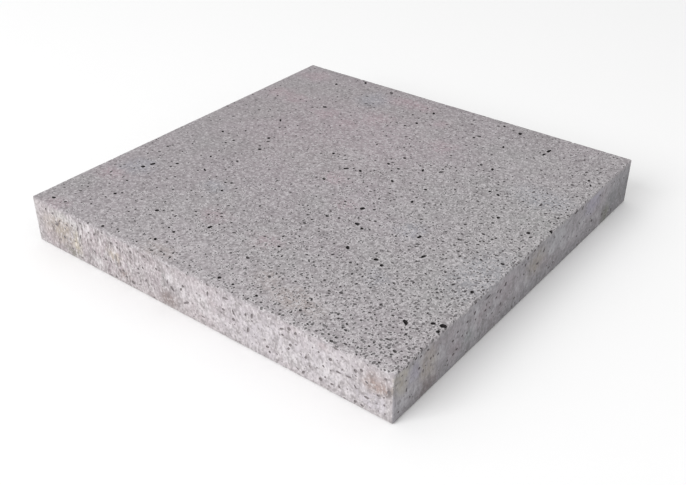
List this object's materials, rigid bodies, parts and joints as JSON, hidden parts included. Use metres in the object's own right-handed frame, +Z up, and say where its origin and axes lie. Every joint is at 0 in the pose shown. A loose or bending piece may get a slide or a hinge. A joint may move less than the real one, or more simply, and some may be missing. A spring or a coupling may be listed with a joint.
{
  "type": "concrete paving slab",
  "caption": "Square cast concrete paving slab with an open-pored walking face, plain mould-cast sides and slightly rounded arrises.",
  "frame": {"origin": "middle of the bed face, the large face that the slab is laid on", "axes": "+Z up through the slab's thickness to the walking face; +X and +Y along its two equal sides"},
  "size_m": [0.6, 0.6, 0.07],
  "materials": {
    "concrete": "matte"
  },
  "bodies": {
    "root": {"paving_slab": "concrete"}
  },
  "joints": []
}
